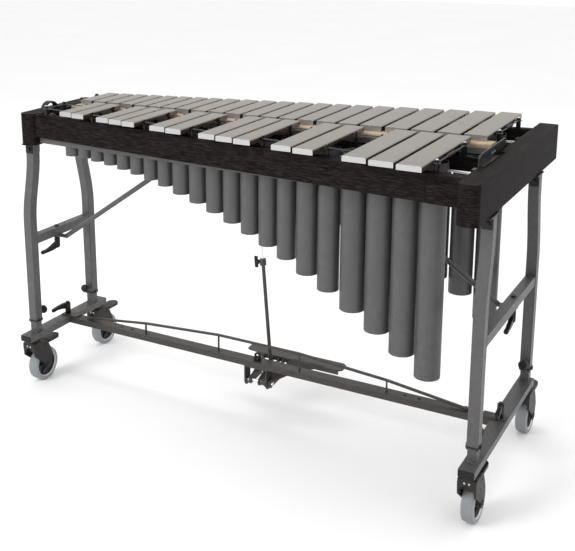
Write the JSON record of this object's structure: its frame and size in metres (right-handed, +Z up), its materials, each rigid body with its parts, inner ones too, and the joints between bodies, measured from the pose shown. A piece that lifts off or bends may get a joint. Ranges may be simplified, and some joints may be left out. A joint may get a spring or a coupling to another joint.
{
  "type": "vibraphone",
  "caption": "Vibraphone: graduated metal bars in two rows over tubular resonators, dark wood frame, height-adjustable legs on braked casters, sprung damper bar worked by a foot pedal.",
  "frame": {"origin": "floor point under the middle of the instrument's bounding box", "axes": "+X to the low notes, -Y to the accidental (audience) side, +Z up"},
  "size_m": [1.4, 0.706, 0.853],
  "materials": {
    "bar_metal": "satin anodised, bright cut ends",
    "stained_wood": "dark stain, satin lacquer",
    "frame_paint": "hammered dark grey powder coat",
    "base_paint": "hammered brown-grey powder coat",
    "resonator_paint": "fine textured dark grey paint",
    "caster_housing": "dark grey-brown",
    "tyre_grey": "grey tread, dark hub",
    "black_plastic": "black",
    "black_steel": "black oxide",
    "cord_black": "braided cord",
    "bright_steel": "bright zinc",
    "damper_metal": "dull",
    "felt": "soft beige felt",
    "belt_rubber": "black",
    "fan_metal": "satin"
  },
  "bodies": {
    "base": {"feet": "frame_paint", "crossbar": "base_paint", "truss_rod": "base_paint", "pedal_bracket": "base_paint", "pedal_axle": "bright_steel"},
    "upper_frame": {"end_frames": "frame_paint", "leg_top_brackets": "black_steel", "frame_bolts": "black_steel", "diagonal_braces": "frame_paint", "end_boards": "stained_wood", "front_rail": "stained_wood", "rear_rail": "stained_wood", "centre_rails": "stained_wood", "bar_posts": "black_plastic", "suspension_cord": "cord_black", "cord_springs": "bright_steel", "natural_bars_low": "bar_metal", "natural_bars_high": "bar_metal", "accidental_bars_low": "bar_metal", "accidental_bars_high": "bar_metal", "natural_resonators": "resonator_paint", "accidental_resonators": "resonator_paint", "resonator_stoppers": "resonator_paint", "resonator_rails": "resonator_paint", "shaft_bearings": "black_plastic", "motor": "black_plastic", "drive_belts": "belt_rubber", "pulley_guard": "black_steel", "damper_guides": "black_steel", "damper_springs": "bright_steel"},
    "pedal": {"pedal": "base_paint"},
    "rod_tube": {"damper_rod_tube": "base_paint"},
    "rod_upper": {"damper_rod_upper": "bright_steel"},
    "damper": {"damper_bar": "damper_metal", "damper_felt": "felt"},
    "wing_screw": {"rod_wing_screw": "black_plastic"},
    "bracket_knob": {"bracket_knob": "black_plastic"},
    "natural_fans": {"natural_fan_shaft": "fan_metal"},
    "accidental_fans": {"accidental_fan_shaft": "fan_metal"},
    "motor_pulley": {"motor_pulley": "fan_metal"},
    "fork_front_right": {"caster_fork_front_right": "caster_housing"},
    "wheel_front_right": {"caster_wheel_front_right": "tyre_grey"},
    "brake_front_right": {"caster_brake_front_right": "black_plastic"},
    "fork_back_right": {"caster_fork_back_right": "caster_housing"},
    "wheel_back_right": {"caster_wheel_back_right": "tyre_grey"},
    "brake_back_right": {"caster_brake_back_right": "black_plastic"},
    "fork_front_left": {"caster_fork_front_left": "caster_housing"},
    "wheel_front_left": {"caster_wheel_front_left": "tyre_grey"},
    "brake_front_left": {"caster_brake_front_left": "black_plastic"},
    "fork_back_left": {"caster_fork_back_left": "caster_housing"},
    "wheel_back_left": {"caster_wheel_back_left": "tyre_grey"},
    "brake_back_left": {"caster_brake_back_left": "black_plastic"},
    "knob_front_right": {"height_knob_front_right": "black_plastic"},
    "knob_back_right": {"height_knob_back_right": "black_plastic"},
    "knob_front_left": {"height_knob_front_left": "black_plastic"},
    "knob_back_left": {"height_knob_back_left": "black_plastic"},
    "foot_lever_right": {"foot_clamp_right": "black_plastic"},
    "brace_lever_right": {"brace_clamp_right": "black_plastic"},
    "foot_lever_left": {"foot_clamp_left": "black_plastic"},
    "brace_lever_left": {"brace_clamp_left": "black_plastic"}
  },
  "joints": [
    {"name": "height_adjust", "type": "slide", "parent": "base", "child": "upper_frame", "axis": [0, 0, 1], "range_m": [0, 0.15]},
    {"name": "pedal_hinge", "type": "hinge", "parent": "base", "child": "pedal", "pos_m": [0, -0.042, 0.097], "axis": [-1, 0, 0], "range_deg": [0, 10.6]},
    {"name": "rod_pull", "type": "slide", "parent": "base", "child": "rod_tube", "axis": [0.0453, 0.0614, -0.9971], "range_m": [0, 0.0091]},
    {"name": "rod_length", "type": "slide", "parent": "rod_tube", "child": "rod_upper", "axis": [-0.0453, -0.0614, 0.9971], "range_m": [0, 0.1505]},
    {"name": "damper_drop", "type": "slide", "parent": "upper_frame", "child": "damper", "axis": [0, 0, -1], "range_m": [0, 0.009], "stiffness_N_per_m": 1500, "springref_m": -0.04, "deforming": ["damper_springs"]},
    {"name": "rod_screw_turn", "type": "hinge", "parent": "rod_tube", "child": "wing_screw", "pos_m": [0.00044, -0.01372, 0.43802], "axis": [-0.9876, -0.1473, -0.054], "continuous": true},
    {"name": "bracket_knob_turn", "type": "hinge", "parent": "base", "child": "bracket_knob", "pos_m": [-0.002, -0.042, 0.15], "axis": [0, 0, 1], "continuous": true},
    {"name": "natural_fan_spin", "type": "hinge", "parent": "upper_frame", "child": "natural_fans", "pos_m": [0, 0.08635, 0.803], "axis": [0.9903, 0.1386, 0], "continuous": true},
    {"name": "accidental_fan_spin", "type": "hinge", "parent": "upper_frame", "child": "accidental_fans", "pos_m": [0, -0.167, 0.803], "axis": [0.9996, -0.03, 0], "continuous": true},
    {"name": "motor_spin", "type": "hinge", "parent": "upper_frame", "child": "motor_pulley", "pos_m": [-0.604, -0.06, 0.745], "axis": [1, 0, 0], "continuous": true},
    {"name": "swivel_front_right", "type": "hinge", "parent": "base", "child": "fork_front_right", "pos_m": [0.676, -0.283, 0.14], "axis": [0, 0, 1], "continuous": true},
    {"name": "roll_front_right", "type": "hinge", "parent": "fork_front_right", "child": "wheel_front_right", "pos_m": [0.676, -0.245, 0.05], "axis": [1, 0, 0], "continuous": true},
    {"name": "brake_press_front_right", "type": "hinge", "parent": "fork_front_right", "child": "brake_front_right", "pos_m": [0.676, -0.257, 0.117], "axis": [-1, 0, 0], "range_deg": [0, 11]},
    {"name": "swivel_back_right", "type": "hinge", "parent": "base", "child": "fork_back_right", "pos_m": [0.676, 0.185, 0.14], "axis": [0, 0, 1], "continuous": true},
    {"name": "roll_back_right", "type": "hinge", "parent": "fork_back_right", "child": "wheel_back_right", "pos_m": [0.676, 0.223, 0.05], "axis": [1, 0, 0], "continuous": true},
    {"name": "brake_press_back_right", "type": "hinge", "parent": "fork_back_right", "child": "brake_back_right", "pos_m": [0.676, 0.211, 0.117], "axis": [-1, 0, 0], "range_deg": [0, 11]},
    {"name": "swivel_front_left", "type": "hinge", "parent": "base", "child": "fork_front_left", "pos_m": [-0.676, -0.204, 0.14], "axis": [0, 0, 1], "continuous": true},
    {"name": "roll_front_left", "type": "hinge", "parent": "fork_front_left", "child": "wheel_front_left", "pos_m": [-0.676, -0.166, 0.05], "axis": [1, 0, 0], "continuous": true},
    {"name": "brake_press_front_left", "type": "hinge", "parent": "fork_front_left", "child": "brake_front_left", "pos_m": [-0.676, -0.178, 0.117], "axis": [-1, 0, 0], "range_deg": [0, 11]},
    {"name": "swivel_back_left", "type": "hinge", "parent": "base", "child": "fork_back_left", "pos_m": [-0.676, 0.094, 0.14], "axis": [0, 0, 1], "continuous": true},
    {"name": "roll_back_left", "type": "hinge", "parent": "fork_back_left", "child": "wheel_back_left", "pos_m": [-0.676, 0.132, 0.05], "axis": [1, 0, 0], "continuous": true},
    {"name": "brake_press_back_left", "type": "hinge", "parent": "fork_back_left", "child": "brake_back_left", "pos_m": [-0.676, 0.12, 0.117], "axis": [-1, 0, 0], "range_deg": [0, 11]},
    {"name": "knob_turn_front_right", "type": "hinge", "parent": "upper_frame", "child": "knob_front_right", "pos_m": [0.676, -0.262, 0.216], "axis": [0, 1, 0], "continuous": true},
    {"name": "knob_turn_back_right", "type": "hinge", "parent": "upper_frame", "child": "knob_back_right", "pos_m": [0.676, 0.196, 0.216], "axis": [0, 1, 0], "continuous": true},
    {"name": "knob_turn_front_left", "type": "hinge", "parent": "upper_frame", "child": "knob_front_left", "pos_m": [-0.676, -0.187, 0.216], "axis": [0, 1, 0], "continuous": true},
    {"name": "knob_turn_back_left", "type": "hinge", "parent": "upper_frame", "child": "knob_back_left", "pos_m": [-0.676, 0.077, 0.216], "axis": [0, 1, 0], "continuous": true},
    {"name": "foot_clamp_turn_right", "type": "hinge", "parent": "base", "child": "foot_lever_right", "pos_m": [0.676, -0.042, 0.18], "axis": [0, 0, 1], "continuous": true},
    {"name": "brace_clamp_turn_right", "type": "hinge", "parent": "upper_frame", "child": "brace_lever_right", "pos_m": [0.676, 0.017, 0.41], "axis": [0, 0, 1], "continuous": true},
    {"name": "foot_clamp_turn_left", "type": "hinge", "parent": "base", "child": "foot_lever_left", "pos_m": [-0.676, -0.042, 0.18], "axis": [0, 0, 1], "continuous": true},
    {"name": "brace_clamp_turn_left", "type": "hinge", "parent": "upper_frame", "child": "brace_lever_left", "pos_m": [-0.676, -0.075, 0.41], "axis": [0, 0, 1], "continuous": true}
  ],
  "couplings": [
    {"joint": "rod_pull", "follows": "pedal_hinge", "m_per_rad": 0.04878},
    {"joint": "damper_drop", "follows": "pedal_hinge", "m_per_rad": 0.04864},
    {"joint": "rod_length", "follows": "height_adjust", "ratio": 1.0029},
    {"joint": "accidental_fan_spin", "follows": "natural_fan_spin", "ratio": 1},
    {"joint": "motor_spin", "follows": "natural_fan_spin", "ratio": 1.652}
  ]
}
